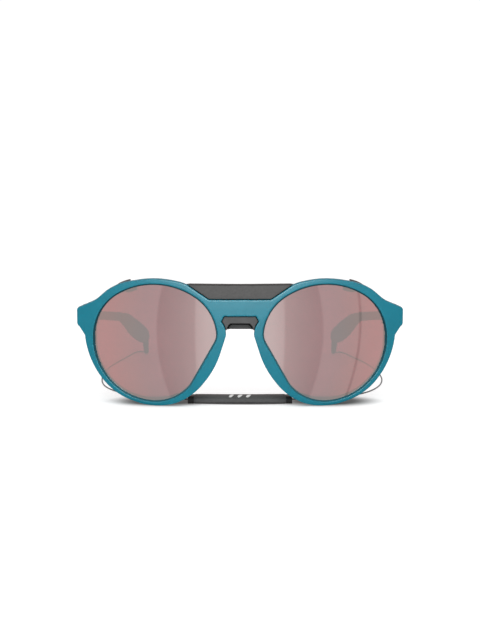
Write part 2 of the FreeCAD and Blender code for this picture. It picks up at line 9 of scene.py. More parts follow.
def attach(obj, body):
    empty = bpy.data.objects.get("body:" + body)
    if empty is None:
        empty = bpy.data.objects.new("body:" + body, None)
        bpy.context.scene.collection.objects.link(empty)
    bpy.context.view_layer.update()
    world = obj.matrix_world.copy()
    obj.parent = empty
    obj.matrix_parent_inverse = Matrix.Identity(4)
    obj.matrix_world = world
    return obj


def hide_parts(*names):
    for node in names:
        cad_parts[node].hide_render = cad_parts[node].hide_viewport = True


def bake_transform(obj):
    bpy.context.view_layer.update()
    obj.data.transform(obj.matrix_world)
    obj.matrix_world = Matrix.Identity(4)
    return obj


# Glacier glasses on a white studio table, seen from the front and a little above.
# Lengths are in metres unless a name or comment says mm, and angles are in degrees.
# +X is towards the wearer's left, +Y from the front towards the temple tips, and +Z up.

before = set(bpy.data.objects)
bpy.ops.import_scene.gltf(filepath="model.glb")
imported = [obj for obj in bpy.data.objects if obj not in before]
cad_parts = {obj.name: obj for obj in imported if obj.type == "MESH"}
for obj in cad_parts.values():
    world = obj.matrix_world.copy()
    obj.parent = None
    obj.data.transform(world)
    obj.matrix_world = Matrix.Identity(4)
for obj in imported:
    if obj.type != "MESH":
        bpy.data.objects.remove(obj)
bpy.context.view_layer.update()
MM = 0.001
SIDES = (("left", 1), ("right", -1))

# ---------------------------------------------------------------- places of the design

# The front is cut from a ball, and its foremost point is the face of the bridge. The lenses
# sit behind that surface in a seat, which is a little wider than the opening.
BRIDGE_FACE = -0.077
WRAP_RADIUS = 0.150
WRAP_CENTRE = Vector((0.0, BRIDGE_FACE + WRAP_RADIUS, 0.0286))
LENS_RECESS = 1.2 * MM
LENS_THICKNESS = 2.0 * MM
LENS_SEAT = 0.8 * MM


# ---------------------------------------------------------------- camera

CAMERA_BACK = 0.700
CAMERA_HEIGHT = 0.139
CAMERA_PITCH = 8.05
CAMERA_FOCAL_MM = 90.1


def add_camera():
    """The camera in front of the glasses, looking a little down."""
    data = bpy.data.cameras.new("camera")
    data.sensor_fit = "VERTICAL"
    data.sensor_height = 36.0
    data.lens = CAMERA_FOCAL_MM
    data.clip_start = 0.01
    camera = bpy.data.objects.new("camera", data)
    bpy.context.collection.objects.link(camera)
    camera.location = (0.0, BRIDGE_FACE - CAMERA_BACK, CAMERA_HEIGHT)
    camera.rotation_euler = (math.radians(90.0 - CAMERA_PITCH), 0.0, 0.0)
    bpy.context.scene.camera = camera


# ---------------------------------------------------------------- shader nodes

class Nodes:
    """A node tree under construction."""

    def __init__(self, tree):
        self.nodes = tree.nodes
        self.links = tree.links

    def join(self, source, target):
        self.links.new(source, target)

    def feed(self, socket, value):
        """Give a socket a number, a colour or another socket's value."""
        if isinstance(value, (int, float)):
            socket.default_value = value
        elif isinstance(value, tuple):
            socket.default_value = (*value, 1.0)
        else:
            self.join(value, socket)

    def maths(self, operation, first, second=0.0):
        node = self.nodes.new("ShaderNodeMath")
        node.operation = operation
        self.feed(node.inputs[0], first)
        self.feed(node.inputs[1], second)
        return node.outputs[0]

    def square(self, value):
        return self.maths("MULTIPLY", value, value)

    def apart(self, first, second):
        """How far two values are from each other."""
        return self.maths("ABSOLUTE", self.maths("SUBTRACT", first, second))

    def vector(self, operation, first, output="Vector"):
        node = self.nodes.new("ShaderNodeVectorMath")
        node.operation = operation
        self.join(first, node.inputs[0])
        return node.outputs[output]

    def placed(self, vector, middle, size):
        """A vector measured from a middle, in units of a size."""
        node = self.nodes.new("ShaderNodeMapping")
        node.vector_type = "TEXTURE"
        node.inputs["Location"].default_value = middle
        node.inputs["Scale"].default_value = size
        self.join(vector, node.inputs["Vector"])
        return node.outputs["Vector"]

    def part(self, vector, axis):
        """One of the three parts of a vector."""
        node = self.nodes.new("ShaderNodeSeparateXYZ")
        self.join(vector, node.inputs["Vector"])
        return node.outputs[axis]

    def spread(self, value, low, high, start=0.3, stop=0.7, way="LINEAR"):
        """The value, from start to stop, mapped to low and high."""
        node = self.nodes.new("ShaderNodeMapRange")
        node.interpolation_type = way
        node.inputs["From Min"].default_value = start
        node.inputs["From Max"].default_value = stop
        node.inputs["To Min"].default_value = low
        node.inputs["To Max"].default_value = high
        self.join(value, node.inputs["Value"])
        return node.outputs["Result"]

    def blend(self, share, first, second):
        """A colour between two colours, each a triple or a socket."""
        node = self.nodes.new("ShaderNodeMix")
        node.data_type = "RGBA"
        self.join(share, node.inputs["Factor"])
        self.feed(node.inputs[6], first)
        self.feed(node.inputs[7], second)
        return node.outputs[2]

    def mix(self, share, first, second):
        """A shader between two shaders."""
        node = self.nodes.new("ShaderNodeMixShader")
        self.feed(node.inputs["Fac"], share)
        self.join(first, node.inputs[1])
        self.join(second, node.inputs[2])
        return node.outputs["Shader"]


class Surface(Nodes):
    """A material with its Principled shader, its object coordinates and its textures."""

    def __init__(self, name, colour, roughness, metallic=0.0):
        self.material = bpy.data.materials.new(name)
        self.material.use_nodes = True
        super().__init__(self.material.node_tree)
        self.shader = self.nodes["Principled BSDF"]
        self.output = self.nodes["Material Output"]
        self.fix("Base Color", (*colour, 1.0))
        self.fix("Roughness", roughness)
        self.fix("Metallic", metallic)
        self.place = self.nodes.new("ShaderNodeTexCoord").outputs["Object"]

    def fix(self, socket, value):
        """Set one of the shader's own sockets."""
        self.shader.inputs[socket].default_value = value

    def noise(self, grain, detail=3.0, stretch=(1.0, 1.0, 1.0)):
        """Noise with the given grain size, from 0 to 1."""
        mapping = self.nodes.new("ShaderNodeMapping")
        mapping.inputs["Scale"].default_value = [part / grain for part in stretch]
        self.join(self.place, mapping.inputs["Vector"])
        node = self.nodes.new("ShaderNodeTexNoise")
        node.inputs["Scale"].default_value = 1.0
        node.inputs["Detail"].default_value = detail
        self.join(mapping.outputs["Vector"], node.inputs["Vector"])
        return node.outputs["Fac"]

    def mottled(self, noise, colour, darkest, lightest):
        """A colour that the noise varies between two shares of itself."""
        shades = [tuple(min(1.0, part * share) for part in colour) for share in (darkest, lightest)]
        return self.blend(self.spread(noise, 0.0, 1.0), *shades)

    def colour(self, source):
        self.join(source, self.shader.inputs["Base Color"])

    def rough(self, source):
        self.join(source, self.shader.inputs["Roughness"])

    def bump(self, height, depth, strength):
        node = self.nodes.new("ShaderNodeBump")
        node.inputs["Strength"].default_value = strength
        node.inputs["Distance"].default_value = depth
        self.join(height, node.inputs["Height"])
        self.join(node.outputs["Normal"], self.shader.inputs["Normal"])


# ---------------------------------------------------------------- materials

TEAL = (0.0005, 0.165, 0.232)
SHIELD_GREY = (0.098, 0.097, 0.096)
BAND_GREY = (0.092, 0.092, 0.093)
RUBBER_BLACK = (0.028, 0.028, 0.029)
CORD_GREY = (0.045, 0.045, 0.047)
MARK_WHITE = (0.72, 0.72, 0.71)
# The painted shade line round each lens, where the rim shades the lens edge: its tone at the top, at the
# bottom, and the heights between which it changes.
EDGE_SHADE_TOP = (0.022, 0.080, 0.102)
EDGE_SHADE_BOTTOM = (0.036, 0.125, 0.150)
EDGE_SHADE_HEIGHTS = (10.0 * MM, 36.0 * MM)
# Painted shade on rubber faces that look up: the range of upward facing over which it comes in.
TOP_SHADE_FACING = (0.2, 0.6)
# Painted contact shadow on the lowest millimetre of rubber: the heights over which it fades out.
CONTACT_SHADE_HEIGHTS = (0.1 * MM, 1.1 * MM)


def teal_nylon():
    """Matt moulded nylon: a fine spark-eroded texture and faint mottling."""
    surface = Surface("teal_nylon", TEAL, 0.5)
    surface.colour(surface.mottled(surface.noise(9.0 * MM, 2.0), TEAL, 0.95, 1.05))
    surface.rough(surface.spread(surface.noise(1.5 * MM), 0.42, 0.50))
    surface.bump(surface.noise(0.12 * MM, 2.0), 0.010 * MM, 0.6)
    surface.fix("Specular IOR Level", 0.22)
    surface.fix("Specular Tint", (0.85, 1.0, 1.0, 1.0))
    return surface.material


def soft_rubber(name, colour, top_shade=1.0, contact_shade=1.0, rough=(0.52, 0.66)):
    """Soft-touch rubber: matt, with a fine even grain and a little dust.

    Faces that look up are darkened to one given tone as painted shade, and the lowest millimetre to
    another as a painted contact shadow.
    """
    surface = Surface(name, colour, 0.6)
    dusty = surface.mottled(surface.noise(0.9 * MM, 4.0), colour, 0.92, 1.09)
    facing = surface.part(surface.nodes.new("ShaderNodeNewGeometry").outputs["Normal"], "Z")
    height = surface.part(surface.place, "Z")
    # Painted shade: faces that look up are darkened towards the given tone.
    upper = surface.spread(facing, 1.0, top_shade, *TOP_SHADE_FACING)
    # Painted contact shadow: the lowest millimetre is darkened towards the given tone.
    contact_shading = surface.spread(height, contact_shade, 1.0, *CONTACT_SHADE_HEIGHTS)
    surface.colour(surface.blend(surface.maths("MULTIPLY", upper, contact_shading), (0.0, 0.0, 0.0), dusty))
    surface.rough(surface.spread(surface.noise(2.2 * MM), *rough))
    surface.bump(surface.noise(0.15 * MM, 2.0), 0.012 * MM, 0.6)
    surface.fix("Specular IOR Level", 0.12)
    surface.fix("Sheen Weight", 0.05)
    surface.fix("Sheen Roughness", 0.5)
    return surface.material


def hard_plastic(name, colour):
    """Moulded plastic with a faint texture and a soft gloss."""
    surface = Surface(name, colour, 0.4)
    surface.rough(surface.spread(surface.noise(1.2 * MM), 0.34, 0.46))
    surface.colour(surface.mottled(surface.noise(4.0 * MM, 2.0), colour, 0.92, 1.1))
    surface.bump(surface.noise(0.18 * MM, 2.0), 0.01 * MM, 0.6)
    surface.fix("Specular IOR Level", 0.2)
    return surface.material


def brushed_steel(name, colour, stretch):
    """Stainless steel with fine scratches drawn out along one direction."""
    surface = Surface(name, colour, 0.3, 1.0)
    scratches = surface.noise(0.25 * MM, 3.0, stretch)
    surface.rough(surface.spread(scratches, 0.22, 0.42))
    surface.colour(surface.mottled(scratches, colour, 0.85, 1.1))
    surface.bump(scratches, 0.006 * MM, 0.5)
    return surface.material


def glazing(name, gloss, rough, metallic, clear_colour, share):
    """A share of a glossy surface over a clear one of a given colour."""
    surface = Surface(name, gloss, rough, metallic)
    surface.colour(surface.mottled(surface.noise(14.0 * MM, 3.0), gloss, 0.985, 1.015))
    surface.rough(surface.spread(surface.noise(5.0 * MM), 0.8 * rough, 1.2 * rough))
    clear = surface.nodes.new("ShaderNodeBsdfTransparent")
    clear.inputs["Color"].default_value = (*clear_colour, 1.0)
    mixed = surface.mix(share, clear.outputs["BSDF"], surface.shader.outputs["BSDF"])
    surface.join(mixed, surface.output.inputs["Surface"])
    return surface.material


def painted_edge_shade():
    """A painted shade line round a lens, where the rim shades its edge, paler towards its bottom."""
    surface = Surface("painted_edge_shade", EDGE_SHADE_TOP, 0.4)
    height = surface.part(surface.place, "Z")
    surface.colour(surface.blend(surface.spread(height, 0.0, 1.0, *EDGE_SHADE_HEIGHTS), EDGE_SHADE_BOTTOM, EDGE_SHADE_TOP))
    surface.rough(surface.spread(surface.noise(1.2 * MM), 0.34, 0.46))
    surface.fix("Specular IOR Level", 0.2)
    return surface.material


def braided_cord():
    """Thin braided polyester with flecks of light yarn."""
    surface = Surface("braided_cord", CORD_GREY, 0.75)
    fleck = surface.noise(0.12 * MM, 3.0)
    surface.colour(surface.mottled(fleck, CORD_GREY, 0.6, 2.0))
    surface.rough(surface.spread(surface.noise(0.3 * MM), 0.65, 0.85))
    surface.bump(fleck, 0.03 * MM, 0.8)
    surface.fix("Sheen Weight", 0.3)
    return surface.material


MATERIALS = {
    "frame_teal": teal_nylon(),
    # The shield's faces that look up get painted shade.
    "shield_rubber": soft_rubber("shield_rubber", SHIELD_GREY, top_shade=0.35),
    "nose_saddle_plastic": hard_plastic("nose_saddle_plastic", (0.094, 0.096, 0.096)),
    "nose_pad_rubber": soft_rubber("nose_pad_rubber", (0.09, 0.09, 0.092)),
    "hinge_steel": brushed_steel("hinge_steel", (0.45, 0.45, 0.46), (1.0, 0.15, 1.0)),
    "screw_steel": brushed_steel("screw_steel", (0.38, 0.38, 0.39), (1.0, 1.0, 0.3)),
    "core_steel": brushed_steel("core_steel", (0.50, 0.50, 0.51), (1.0, 0.1, 1.0)),
    "sock_rubber": soft_rubber("sock_rubber", (0.105, 0.10, 0.098)),
    "boot_rubber": soft_rubber("boot_rubber", RUBBER_BLACK),
    # The band's faces that look up get painted shade, and its lowest millimetre a painted contact shadow.
    "band_rubber": soft_rubber("band_rubber", BAND_GREY, top_shade=0.85, contact_shade=0.3, rough=(0.36, 0.46)),
    "ferrule_plastic": hard_plastic("ferrule_plastic", (0.020, 0.020, 0.021)),
    "cord_fabric": braided_cord(),
}
# The lens front has a thin metal coating that lets a quarter of the light through, and
# the lens body is rose brown with a faint polished reflection.
MIRROR_COAT = glazing("mirror_coat", (0.60, 0.585, 0.57), 0.03, 1.0, (1.0, 1.0, 1.0), 0.75)
TINTED_BACK = glazing("tinted_back", (0.05, 0.03, 0.03), 0.06, 0.0, (0.536, 0.106, 0.132), 0.06)
PAINTED_EDGE_SHADE = painted_edge_shade()
MARK_PRINT = hard_plastic("mark_print", MARK_WHITE)


# ---------------------------------------------------------------- piece helpers

def stitch(mesh, first, second):
    """A band of faces between two closed rings of points."""
    for index in range(len(first)):
        after = (index + 1) % len(first)
        mesh.faces.new((first[index], first[after], second[after], second[index]))


def tube(mesh, rings):
    """Faces along a row of rings, closed at both ends."""
    for first, second in zip(rings, rings[1:]):
        stitch(mesh, first, second)
    mesh.faces.new(list(reversed(rings[0])))
    mesh.faces.new(rings[-1])


def finished(mesh, name):
    """The mesh data of a closed form, with its faces looking outwards."""
    bmesh.ops.recalc_face_normals(mesh, faces=mesh.faces)
    data = bpy.data.meshes.new(name)
    mesh.to_mesh(data)
    mesh.free()
    return data


def link_piece(name, mesh, materials):
    """An object of the mesh, smoothly shaded, with its materials."""
    piece = bpy.data.objects.new(name, mesh)
    bpy.context.collection.objects.link(piece)
    if mesh.materials:
        # Only where there are any, because this also resets the faces' material numbers.
        mesh.materials.clear()
    for material in materials:
        mesh.materials.append(material)
    mesh.polygons.foreach_set("use_smooth", [True] * len(mesh.polygons))
    return piece


def evaluated_mesh(source):
    """A new mesh of an object as its modifiers or its curve make it. The object is removed."""
    bpy.context.collection.objects.link(source)
    graph = bpy.context.evaluated_depsgraph_get()
    graph.update()
    shaped = bpy.data.meshes.new_from_object(source.evaluated_get(graph))
    bpy.data.objects.remove(source)
    return shaped


def moulded(node, body, slot, voxel_mm, passes, fillers=()):
    """A CAD piece made again with the rounded edges of a moulding, in place of the node."""
    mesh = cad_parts[node].data.copy()
    joined = bmesh.new()
    joined.from_mesh(mesh)
    for filler in fillers:
        joined.from_mesh(filler)
        bpy.data.meshes.remove(filler)
    joined.to_mesh(mesh)
    joined.free()
    draft = bpy.data.objects.new(node + "_draft", mesh)
    remesh = draft.modifiers.new("remesh", "REMESH")
    remesh.mode = "VOXEL"
    remesh.voxel_size = voxel_mm * MM
    soften = draft.modifiers.new("soften", "SMOOTH")
    soften.factor = 0.5
    soften.iterations = passes
    shaped = evaluated_mesh(draft)
    bpy.data.meshes.remove(mesh)
    piece = link_piece(node + "_moulded", shaped, [MATERIALS[slot]])
    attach(piece, body)
    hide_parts(node)
    return piece


def dress(node, slot, bevel_mm=0.0):
    """A CAD piece that stays: its material, and lightly broken edges."""
    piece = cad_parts[node]
    piece.data.materials.clear()
    piece.data.materials.append(MATERIALS[slot])
    if bevel_mm:
        edge = piece.modifiers.new("edge", "BEVEL")
        edge.width = bevel_mm * MM
        edge.segments = 2
        edge.limit_method = "ANGLE"
        edge.angle_limit = math.radians(40.0)


# ---------------------------------------------------------------- lenses

def on_wrap(x, z, inset):
    """The point on the front of the wrap ball, made smaller by inset, at a place in the front view."""
    radius = WRAP_RADIUS - inset
    depth = math.sqrt(radius ** 2 - x ** 2 - (z - WRAP_CENTRE.z) ** 2)
    return Vector((x, WRAP_CENTRE.y - depth, z))


def evenly(outline, count):
    """The same closed outline with that many points, evenly spaced."""
    loop = outline + outline[:1]
    steps = [(b - a).length for a, b in zip(loop, loop[1:])]
    total = sum(steps)
    points = []
    index, passed = 0, 0.0
    for number in range(count):
        target = total * number / count
        while passed + steps[index] < target:
            passed += steps[index]
            index += 1
        share = (target - passed) / steps[index]
        points.append(loop[index].lerp(loop[index + 1], share))
    return points


LENS_RINGS = 22
LENS_POINTS = 240
# The width of the painted shade line round each lens.
EDGE_SHADE_WIDTH = 0.6 * MM


def lens_outline(word):
    """The outline of a lens in the front view, in order round it."""
    flat = [Vector((v.co.x, v.co.z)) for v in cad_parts[f"lens_{word}"].data.vertices]
    return evenly([flat[index] for index in convex_hull_2d(flat)], LENS_POINTS)


def inset_outline(outline, distance):
    """A closed outline moved inwards by a distance."""
    middle = sum(outline, Vector((0.0, 0.0))) / len(outline)
    moved = []
    for index, point in enumerate(outline):
        along = outline[(index + 1) % len(outline)] - outline[index - 1]
        inwards = Vector((along.y, -along.x)).normalized()
        if inwards.dot(middle - point) < 0.0:
            inwards = -inwards
        moved.append(point + inwards * distance)
    return moved


def lens(word):
    """A lens cut from the wrap ball: a mirror-coated front face and a painted shade line round both
    faces.
    """
    outline = lens_outline(word)
    shade_line_inside = inset_outline(outline, LENS_SEAT + EDGE_SHADE_WIDTH)
    middle = sum(outline, Vector((0.0, 0.0))) / len(outline)
    shares = [ring / LENS_RINGS for ring in range(1, LENS_RINGS + 1)]
    loops = [[middle.lerp(point, share) for point in shade_line_inside] for share in shares]
    loops.append(outline)
    materials = [MIRROR_COAT, TINTED_BACK, PAINTED_EDGE_SHADE]
    coat, tint, shade_line = range(3)
    mesh = bmesh.new()
    edges = []
    for inset, skin_material in ((LENS_RECESS, coat), (LENS_RECESS + LENS_THICKNESS, tint)):
        hub = mesh.verts.new(on_wrap(middle.x, middle.y, inset))
        rings = [[mesh.verts.new(on_wrap(spot.x, spot.y, inset)) for spot in loop] for loop in loops]
        edges.append(rings[-1])
        for index in range(LENS_POINTS):
            after = (index + 1) % LENS_POINTS
            skin = [mesh.faces.new((hub, rings[0][index], rings[0][after]))]
            for inner, outer in zip(rings, rings[1:]):
                quad = (inner[index], outer[index], outer[after], inner[after])
                skin.append(mesh.faces.new(quad))
            for face in skin:
                face.material_index = skin_material
            # The outermost ring of each face is the painted shade line.
            skin[-1].material_index = shade_line
    front, back = edges
    for index in range(LENS_POINTS):
        after = (index + 1) % LENS_POINTS
        rim = mesh.faces.new((front[index], back[index], back[after], front[after]))
        rim.material_index = tint
        for ring in edges:
            mesh.edges.get((ring[index], ring[after])).smooth = False
    name = f"lens_{word}_coated"
    piece = link_piece(name, finished(mesh, name), materials)
    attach(piece, "front")
    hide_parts(f"lens_{word}")


# The side shield's front step, seen through the lens just inside the top of the rim: how far
# out from the middle line, and how far the step reaches inside the opening there, in mm. The
# step starts behind the rim and lies in a layer behind the front surface.
STEP_WIDTHS_MM = [(46.2, 2.45), (51.4, 2.3), (53.0, 1.2), (58.0, 0.8)]
STEP_START_MM = 0.3
STEP_LAYER_MM = (4.85, 5.75)


def step_width(out_mm):
    """How far the step reaches inside the opening at a distance from the middle line, in mm."""
    for (near, first), (far, second) in zip(STEP_WIDTHS_MM, STEP_WIDTHS_MM[1:]):
        if near <= out_mm <= far:
            return first + (second - first) * (out_mm - near) / (far - near)


def shield_step(word, side):
    """The step at the front of a side shield, behind the top of the rim."""
    outline = lens_outline(word)
    inside = inset_outline(outline, MM)
    near, far = STEP_WIDTHS_MM[0][0] * MM, STEP_WIDTHS_MM[-1][0] * MM
    front, back = STEP_LAYER_MM
    mesh = bmesh.new()
    rows = []
    for point, inner in zip(outline, inside):
        if not near <= side * point.x <= far or point.y < WRAP_CENTRE.z:
            continue
        reach = LENS_SEAT / MM + step_width(side * point.x / MM)
        row = []
        start = STEP_START_MM
        for distance, inset in ((start, front), (reach, front), (reach, back), (start, back)):
            spot = point + (inner - point) * distance
            x = side * max(side * spot.x, near)
            row.append(mesh.verts.new(on_wrap(x, spot.y, inset * MM)))
        rows.append(row)
    tube(mesh, rows)
    name = f"side_shield_step_{word}"
    piece = link_piece(name, finished(mesh, name), [MATERIALS["shield_rubber"]])
    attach(piece, "front")


FILLER_LAP = 0.02 * MM
FILLER_REACH = 0.25 * MM
FILLER_LAYER = (0.7 * MM, 3.9 * MM)


def groove_filler(word):
    """A closed ring that fills the lens groove, so that the thin lip in front of it stays whole."""
    outline = lens_outline(word)
    inner = inset_outline(outline, LENS_SEAT - FILLER_LAP)
    outer = inset_outline(outline, -FILLER_REACH)
    front, back = FILLER_LAYER
    mesh = bmesh.new()
    corners = [(inner, front), (outer, front), (outer, back), (inner, back)]
    rings = [[mesh.verts.new(on_wrap(spot.x, spot.y, inset)) for spot in loop] for loop, inset in corners]
    for ring, following in zip(rings, rings[1:] + rings[:1]):
        stitch(mesh, ring, following)
    return finished(mesh, f"groove_filler_{word}")


# ---------------------------------------------------------------- leash

CORD_LEFT_MM = [
    (23.6, 14.6, 1.7),
    (26.6, 14.6, 1.7),
    (30.8, 17.0, 0.7),
    (37.6, 21.0, 0.3),
    (46.9, 26.8, 0.3),
    (55.8, 33.8, 0.3),
    (62.4, 43.4, 0.3),
    (67.2, 56.6, 0.3),
    (69.5, 70.4, 0.3),
    (69.9, 84.0, 0.3),
    (68.9, 98.6, 0.3),
    (66.9, 113.4, 0.3),
    (63.5, 128.0, 0.3),
    (59.6, 140.2, 0.3),
    (57.4, 149.4, 0.3),
    (55.7, 154.8, 0.3),
    (53.2, 156.9, 0.3),
    (51.0, 156.0, 0.3),
    (50.4, 153.75, 0.68),
]
CORD_RIGHT_MM = [
    (-23.6, 14.6, 1.7),
    (-26.6, 14.6, 1.7),
    (-31.2, 17.9, 0.7),
    (-38.6, 23.0, 0.3),
    (-48.2, 30.4, 0.3),
    (-57.6, 39.6, 0.3),
    (-63.5, 50.8, 0.3),
    (-66.4, 62.0, 0.3),
    (-67.8, 74.2, 0.3),
    (-68.2, 88.6, 0.3),
    (-67.2, 105.2, 0.3),
    (-64.4, 121.4, 0.3),
    (-60.9, 135.6, 0.3),
    (-58.2, 147.6, 0.3),
    (-57.0, 154.6, 0.3),
    (-54.8, 158.4, 0.3),
    (-52.0, 158.7, 0.3),
    (-50.6, 156.4, 0.3),
    (-50.4, 153.75, 0.68),
]
CORD_DIAMETER = 0.6 * MM


def route_points(route_mm):
    """The cord's smooth line: a NURBS through the route's control points."""
    curve = bpy.data.curves.new("route", "CURVE")
    curve.dimensions = "3D"
    curve.resolution_u = 24
    spline = curve.splines.new("NURBS")
    spline.points.add(len(route_mm) - 1)
    for point, (x, y, z) in zip(spline.points, route_mm):
        point.co = (x * MM, BRIDGE_FACE + y * MM, z * MM, 1.0)
    spline.order_u = 3
    spline.use_endpoint_u = True
    line = evaluated_mesh(bpy.data.objects.new("route", curve))
    points = [v.co.copy() for v in line.vertices]
    bpy.data.meshes.remove(line)
    return points


BRAID_STEPS = 20
BRAID_PITCH = 1.8 * MM
BRAID_STRANDS = 4
BRAID_RELIEF = 0.12


def braid_mesh(name, points):
    """A thin round cord with the raised strands of a braid."""
    mesh = bmesh.new()
    rings = []
    passed = 0.0
    side = Vector((0.0, 0.0, 1.0))
    for index, point in enumerate(points):
        before = points[max(index - 1, 0)]
        after = points[min(index + 1, len(points) - 1)]
        along = (after - before).normalized()
        if index:
            passed += (point - points[index - 1]).length
        turn = 2.0 * math.pi * passed / BRAID_PITCH
        side = (side - along * side.dot(along)).normalized()
        other = along.cross(side)
        ring = []
        for step in range(BRAID_STEPS):
            angle = 2.0 * math.pi * step / BRAID_STEPS
            one = abs(math.sin(0.5 * BRAID_STRANDS * angle + turn))
            two = abs(math.sin(0.5 * BRAID_STRANDS * angle - turn))
            radius = 0.5 * CORD_DIAMETER * (1.0 - BRAID_RELIEF + BRAID_RELIEF * max(one, two))
            place = point + (side * math.cos(angle) + other * math.sin(angle)) * radius
            ring.append(mesh.verts.new(place))
        rings.append(ring)
    tube(mesh, rings)
    return finished(mesh, name)


def leash_cord(word, route_mm):
    """A free cord from the band to a temple tip."""
    points = route_points(route_mm)
    name = f"leash_cord_{word}_braided"
    piece = link_piece(name, braid_mesh(name, points), [MATERIALS["cord_fabric"]])
    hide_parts(f"leash_cord_{word}")
    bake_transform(piece)


# The band's section, from behind the bridge face and up from the floor, in mm.
BAND_SECTION_MM = [
    (11.9, 0.0),
    (14.6, 0.0),
    (17.3, 0.0),
    (18.15, 0.45),
    (18.45, 1.3),
    (18.4, 2.2),
    (17.9, 3.1),
    (16.8, 3.6),
    (15.5, 3.78),
    (14.2, 3.78),
    (12.9, 3.62),
    (11.8, 3.3),
    (11.1, 2.75),
    (10.85, 2.1),
    (10.85, 1.3),
    (11.1, 0.5),
]
BAND_CENTRE_MM = (14.65, 1.75)
BAND_TOP_FROM = 1.9 * MM
BAND_HALF = 20.9 * MM
BAND_STATIONS = 84
BAND_END = 1.4 * MM
BAND_END_SHARE = 0.86
BAND_SAG = 0.06


def band_section():
    """The band's section with its corners cut twice over."""
    points = [Vector((y * MM, z * MM)) for y, z in BAND_SECTION_MM]
    for _ in range(2):
        loop = []
        for index, point in enumerate(points):
            after = points[(index + 1) % len(points)]
            loop.append(point.lerp(after, 0.25))
            loop.append(point.lerp(after, 0.75))
        points = loop
    return points


def leash_band():
    """The rubber band: a rounded section whose ends taper and whose middle is a little thinner."""
    section = band_section()
    centre = Vector(BAND_CENTRE_MM) * MM
    mesh = bmesh.new()
    rings = []
    for station in range(BAND_STATIONS + 1):
        x = BAND_HALF * math.cos(math.pi * station / BAND_STATIONS)
        room = min(1.0, max(0.0, (BAND_HALF - abs(x)) / BAND_END))
        share = BAND_END_SHARE + (1.0 - BAND_END_SHARE) * math.sqrt(1.0 - (1.0 - room) ** 2)
        rise = 1.0 + BAND_SAG - BAND_SAG * math.cos(0.5 * math.pi * x / BAND_HALF) ** 2
        ring = []
        for spot in section:
            y = BRIDGE_FACE + centre.x + (spot.x - centre.x) * share
            z = centre.y + (spot.y - centre.y) * share
            if spot.y > centre.y:
                z = centre.y + (z - centre.y) * rise
            ring.append(mesh.verts.new((x, y, max(z, 0.0))))
        rings.append(ring)
    tube(mesh, rings)
    name = "leash_band_moulded"
    piece = link_piece(name, finished(mesh, name), [MATERIALS["band_rubber"]])
    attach(piece, "front")
    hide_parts("leash_band")


MARK_PITCH = 3.9 * MM
MARK_LEAN = 1.2 * MM
MARK_START = 11.5 * MM
MARK_LENGTH = 2.9 * MM
MARK_HALF = 0.85 * MM
MARK_RAISE = 0.04 * MM
MARK_THICKNESS = 0.08 * MM
MARK_STEPS = 8


def band_top(y):
    """The height of the band's top at a depth behind the bridge face."""
    upper = sorted((spot.x, spot.y) for spot in band_section() if spot.y > BAND_TOP_FROM)
    for (y0, z0), (y1, z1) in zip(upper, upper[1:]):
        if y0 <= y <= y1:
            return z0 + (z1 - z0) * (y - y0) / (y1 - y0)


def band_mark():
    """Three slanted dashes with rounded ends, printed on the front of the band's top."""
    mesh = bmesh.new()
    for place in (-1, 0, 1):
        rows = []
        for step in range(MARK_STEPS + 1):
            share = step / MARK_STEPS
            y = MARK_START + MARK_LENGTH * share
            z = band_top(y) + MARK_RAISE
            x = place * MARK_PITCH + (share - 0.5) * MARK_LEAN
            half = MARK_HALF * math.sqrt(max(0.05, 1.0 - (2.0 * share - 1.0) ** 6))
            rows.append([mesh.verts.new((x + side * half, BRIDGE_FACE + y, z)) for side in (-1, 1)])
        for (a, b), (c, d) in zip(rows, rows[1:]):
            mesh.faces.new((a, b, d, c))
    data = bpy.data.meshes.new("band_mark")
    mesh.to_mesh(data)
    mesh.free()
    piece = link_piece("band_mark", data, [MARK_PRINT])
    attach(piece, "front")
    thick = piece.modifiers.new("thick", "SOLIDIFY")
    thick.thickness = MARK_THICKNESS
    thick.offset = 0.0


# ---------------------------------------------------------------- studio

# Only the pieces in here, which is the front frame alone, are lit by the gloss light.
GLOSSY = bpy.data.collections.new("glossy_pieces")
FRONT_AIM = (0.0, BRIDGE_FACE, 0.03)


def area_light(name, place, aim, size, power, diffuse=True, glossy=True):
    """A rectangular light that faces a point. The camera doesn't see it."""
    data = bpy.data.lights.new(name, "AREA")
    data.shape = "RECTANGLE"
    data.size, data.size_y = size
    data.energy = power
    light = bpy.data.objects.new(name, data)
    bpy.context.collection.objects.link(light)
    light.location = place
    towards = Vector(aim) - Vector(place)
    light.rotation_euler = towards.to_track_quat("-Z", "Y").to_euler()
    light.visible_diffuse = diffuse
    light.visible_glossy = glossy
    light.visible_camera = False
    return light


def studio_lights():
    """Two soft lights that show in no reflection, and one that shows only in the frame's gloss."""
    area_light(
        "top_light",
        place=(0.0, 0.05, 1.0),
        aim=(0.0, 0.0, 0.0),
        size=(1.6, 1.6),
        power=6.0,
        glossy=False,
    )
    area_light(
        "front_light",
        place=(0.0, -0.92, 0.74),
        aim=FRONT_AIM,
        size=(1.1, 0.5),
        power=6.0,
        glossy=False,
    )
    gloss = area_light(
        "gloss_light",
        place=(0.0, -0.996, 0.801),
        aim=FRONT_AIM,
        size=(0.8, 0.85),
        power=90.0,
        diffuse=False,
    )
    gloss.light_linking.receiver_collection = GLOSSY


FLOOR_SIZE = 3.0
FLOOR_REACH = 0.30
FLOOR_TONE = (0.62, 0.62, 0.62)
FLOOR_GLOW = 0.74
# Painted shadows on the floor under each rim and under the band: how far each one's middle
# is from the middle line and behind the bridge face, its half sizes, where its edge starts as
# a share of them, and its darkest tone. All lengths in mm. They lie a little towards +X.
FLOOR_SHADES = [
    (37.0, 19.0, 29.0, 16.5, 0.4, 0.14),
    (0.0, 14.5, 30.0, 5.5, 0.6, 0.25),
]
SHADE_SHIFT = 2.0 * MM
SHADE_BACK = -0.01


